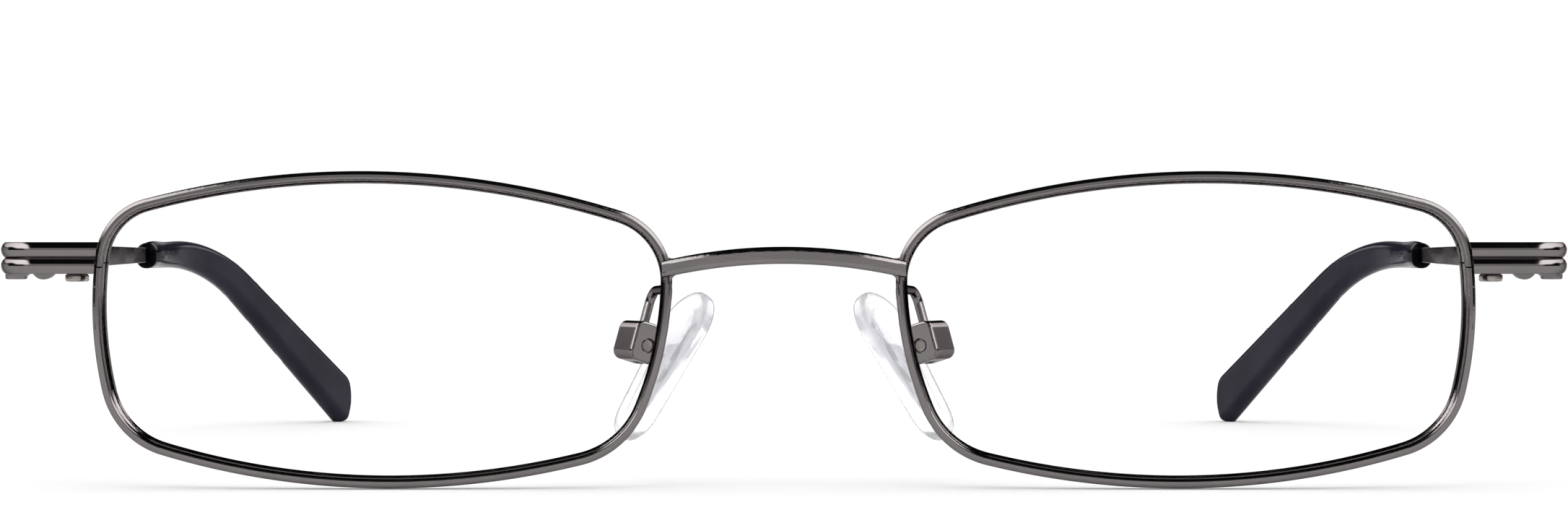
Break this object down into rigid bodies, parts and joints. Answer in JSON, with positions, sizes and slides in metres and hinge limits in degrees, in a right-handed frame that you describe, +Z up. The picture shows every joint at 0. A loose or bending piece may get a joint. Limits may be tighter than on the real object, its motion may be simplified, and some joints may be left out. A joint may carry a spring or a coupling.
{
  "type": "rectangular eyeglasses",
  "caption": "Rectangular full-rim metal eyeglasses with clear lenses, adjustable silicone nose pads and black temple tips.",
  "frame": {"origin": "on the table under the middle of the overall box, between the two temples", "axes": "+X towards the wearer's left, the front of the glasses faces -Y, the temples run to +Y, +Z up"},
  "size_m": [0.1402, 0.1346, 0.0278],
  "materials": {
    "gunmetal": "polished gunmetal plating",
    "screw_steel": "turned steel",
    "clear_lens": "clear, polished",
    "black_tip": "glossy black",
    "clear_silicone": "clear, soft gloss",
    "clear_insert": "clear, gloss"
  },
  "bodies": {
    "front": {"bridge": "gunmetal", "rim_left": "gunmetal", "rim_right": "gunmetal", "lens_left": "clear_lens", "lens_right": "clear_lens", "endpiece_left": "gunmetal", "endpiece_right": "gunmetal", "upper_closing_block_left": "gunmetal", "upper_closing_block_right": "gunmetal", "lower_closing_block_left": "gunmetal", "lower_closing_block_right": "gunmetal", "closing_screw_left": "screw_steel", "closing_screw_right": "screw_steel", "front_hinge_left": "gunmetal", "front_hinge_right": "gunmetal", "hinge_screw_left": "screw_steel", "hinge_screw_right": "screw_steel", "pad_arm_left": "gunmetal", "pad_arm_right": "gunmetal", "pad_box_left": "gunmetal", "pad_box_right": "gunmetal", "pad_screw_left": "screw_steel", "pad_screw_right": "screw_steel"},
    "temple_left": {"temple_hinge_left": "gunmetal", "temple_left": "gunmetal", "temple_tip_left": "black_tip"},
    "temple_right": {"temple_hinge_right": "gunmetal", "temple_right": "gunmetal", "temple_tip_right": "black_tip"},
    "pad_left": {"pad_insert_left": "clear_insert", "nose_pad_left": "clear_silicone"},
    "pad_right": {"pad_insert_right": "clear_insert", "nose_pad_right": "clear_silicone"}
  },
  "joints": [
    {"name": "fold_left", "type": "hinge", "parent": "front", "child": "temple_left", "pos_m": [0.06837, -0.05998, 0.02019], "axis": [0, 0, 1], "range_deg": [0, 84]},
    {"name": "fold_right", "type": "hinge", "parent": "front", "child": "temple_right", "pos_m": [-0.06837, -0.05998, 0.02019], "axis": [0, 0, -1], "range_deg": [0, 77]},
    {"name": "pad_rock_left", "type": "hinge", "parent": "front", "child": "pad_left", "pos_m": [0.013, -0.05758, 0.01234], "axis": [-0.5, -0.866, 0], "range_deg": [-12, 6]},
    {"name": "pad_rock_right", "type": "hinge", "parent": "front", "child": "pad_right", "pos_m": [-0.013, -0.05758, 0.01234], "axis": [-0.5, 0.866, 0], "range_deg": [-12, 6]}
  ]
}
